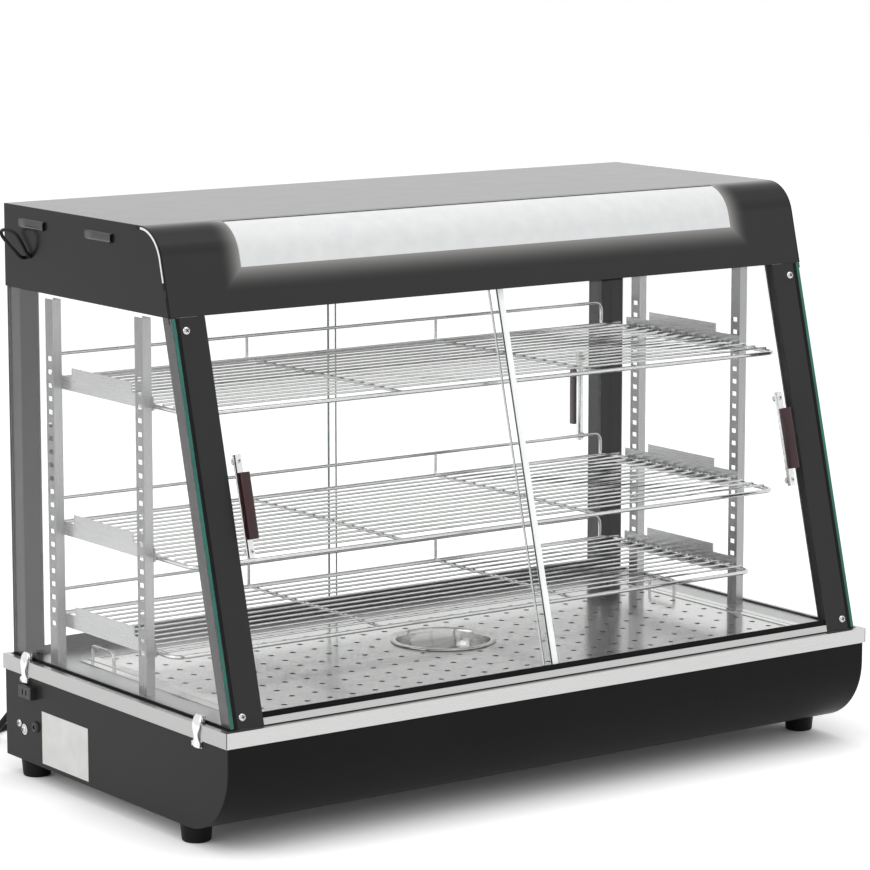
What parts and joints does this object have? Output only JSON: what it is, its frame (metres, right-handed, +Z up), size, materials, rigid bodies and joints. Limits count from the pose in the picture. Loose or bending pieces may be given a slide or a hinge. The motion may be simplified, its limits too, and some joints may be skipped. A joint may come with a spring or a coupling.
{
  "type": "heated food display cabinet",
  "caption": "Counter-top heated food cabinet with a slanted glass front, sliding doors, wire shelves, a lit hood and a control panel on the back of its base.",
  "frame": {"origin": "centre of the footprint on the surface the feet stand on, cord left out", "axes": "+X along the width, +Y to the back where the controls are, +Z up"},
  "size_m": [0.9216, 0.657, 0.66],
  "materials": {
    "black_sheet": "satin black powder coat",
    "brushed_steel": "brushed stainless steel",
    "tray_steel": "brushed, punched stainless sheet",
    "bright_steel": "polished stainless steel",
    "rail_steel": "plain stainless sheet",
    "chrome_wire": "chrome-plated wire",
    "screw_steel": "plated steel",
    "clear_glass": "clear tempered glass, green edges",
    "opal_lens": "opal acrylic, lit from behind",
    "lamp_glass": "white coated tube",
    "black_rubber": "matt black",
    "black_plastic": "moulded black",
    "burgundy_grip": "dark burgundy moulding",
    "panel_blue_grey": "light blue-grey plate",
    "red_lens": "translucent red, lit",
    "green_lens": "translucent green, lit",
    "heater_sheath": "dull heater sheath",
    "phenolic": "cream moulding"
  },
  "bodies": {
    "cabinet": {"base_front_sheet": "black_sheet", "base_sides": "black_sheet", "base_back_panel": "black_sheet", "base_bottom_plate": "rail_steel", "feet": "black_rubber", "trim_band": "brushed_steel", "floor_pan": "brushed_steel", "heating_element": "heater_sheath", "thermostat": "phenolic", "terminal_block": "phenolic", "control_plate": "panel_blue_grey", "switch_housings": "black_plastic", "pilot_lamp_red": "red_lens", "pilot_lamp_green": "green_lens", "cable_gland": "black_plastic", "power_cord": "black_rubber", "cord_coil": "black_rubber", "power_plug": "black_plastic", "front_posts": "black_sheet", "rear_posts": "black_sheet", "side_glass": "clear_glass", "glass_gaskets": "black_rubber", "case_screws": "screw_steel", "front_door_tracks": "black_plastic", "rear_door_tracks": "black_plastic", "front_sill_strip": "brushed_steel", "shelf_rails": "rail_steel", "shelf_brackets": "rail_steel", "hood_cover": "black_sheet", "hood_sides": "black_sheet", "hood_underside": "rail_steel", "light_lens": "opal_lens", "lamp_tube": "lamp_glass", "lamp_lead": "black_rubber", "side_socket": "black_plastic", "latch_plates": "screw_steel"},
    "front_left_door": {"front_door_left": "clear_glass", "front_handle_left": "bright_steel", "front_grip_left": "burgundy_grip"},
    "front_right_door": {"front_door_right": "clear_glass", "front_handle_right": "bright_steel", "front_grip_right": "burgundy_grip"},
    "rear_left_door": {"rear_door_left": "clear_glass", "rear_handle_left": "bright_steel", "rear_grip_left": "burgundy_grip"},
    "rear_right_door": {"rear_door_right": "clear_glass", "rear_handle_right": "bright_steel", "rear_grip_right": "burgundy_grip"},
    "tray": {"perforated_tray": "tray_steel"},
    "bowl": {"water_bowl": "bright_steel"},
    "top_shelf": {"shelf_top": "chrome_wire"},
    "middle_shelf": {"shelf_middle": "chrome_wire"},
    "bottom_shelf": {"shelf_bottom": "chrome_wire"},
    "dial": {"temperature_dial": "black_plastic"},
    "light_rocker": {"light_switch_rocker": "red_lens"},
    "power_rocker": {"power_switch_rocker": "red_lens"},
    "latch_left_rear": {"latch_lever_left_rear": "screw_steel"},
    "latch_left_front": {"latch_lever_left_front": "screw_steel"},
    "latch_right_rear": {"latch_lever_right_rear": "screw_steel"},
    "latch_right_front": {"latch_lever_right_front": "screw_steel"}
  },
  "joints": [
    {"name": "front_left_door_slide", "type": "slide", "parent": "cabinet", "child": "front_left_door", "axis": [1, 0, 0], "range_m": [0, 0.36]},
    {"name": "front_right_door_slide", "type": "slide", "parent": "cabinet", "child": "front_right_door", "axis": [1, 0, 0], "range_m": [-0.36, 0]},
    {"name": "rear_left_door_slide", "type": "slide", "parent": "cabinet", "child": "rear_left_door", "axis": [1, 0, 0], "range_m": [0, 0.355]},
    {"name": "rear_right_door_slide", "type": "slide", "parent": "cabinet", "child": "rear_right_door", "axis": [1, 0, 0], "range_m": [-0.355, 0]},
    {"name": "tray_lift", "type": "slide", "parent": "cabinet", "child": "tray", "axis": [0, 0, 1], "range_m": [0, 0.018]},
    {"name": "bowl_lift", "type": "slide", "parent": "tray", "child": "bowl", "axis": [0, 0, 1], "range_m": [0, 0.018]},
    {"name": "top_shelf_lift", "type": "slide", "parent": "cabinet", "child": "top_shelf", "axis": [0, 0, 1], "range_m": [0, 0.03]},
    {"name": "middle_shelf_lift", "type": "slide", "parent": "cabinet", "child": "middle_shelf", "axis": [0, 0, 1], "range_m": [0, 0.06]},
    {"name": "bottom_shelf_lift", "type": "slide", "parent": "cabinet", "child": "bottom_shelf", "axis": [0, 0, 1], "range_m": [0, 0.06]},
    {"name": "dial_turn", "type": "hinge", "parent": "cabinet", "child": "dial", "pos_m": [-0.2118, 0.2376, 0.0686], "axis": [0, 1, 0], "range_deg": [-95, 110]},
    {"name": "light_rocker_press", "type": "hinge", "parent": "cabinet", "child": "light_rocker", "pos_m": [-0.2927, 0.2264, 0.0685], "axis": [-1, 0, 0], "range_deg": [0, 16]},
    {"name": "power_rocker_press", "type": "hinge", "parent": "cabinet", "child": "power_rocker", "pos_m": [-0.3276, 0.2264, 0.0685], "axis": [-1, 0, 0], "range_deg": [0, 16]},
    {"name": "latch_left_rear_swing", "type": "hinge", "parent": "cabinet", "child": "latch_left_rear", "pos_m": [-0.4532, 0.1806, 0.1168], "axis": [0, -1, 0], "range_deg": [0, 95]},
    {"name": "latch_left_front_swing", "type": "hinge", "parent": "cabinet", "child": "latch_left_front", "pos_m": [-0.4532, -0.1914, 0.1168], "axis": [0, -1, 0], "range_deg": [0, 95]},
    {"name": "latch_right_rear_swing", "type": "hinge", "parent": "cabinet", "child": "latch_right_rear", "pos_m": [0.4532, 0.1806, 0.1168], "axis": [0, 1, 0], "range_deg": [0, 95]},
    {"name": "latch_right_front_swing", "type": "hinge", "parent": "cabinet", "child": "latch_right_front", "pos_m": [0.4532, -0.1914, 0.1168], "axis": [0, 1, 0], "range_deg": [0, 95]}
  ]
}
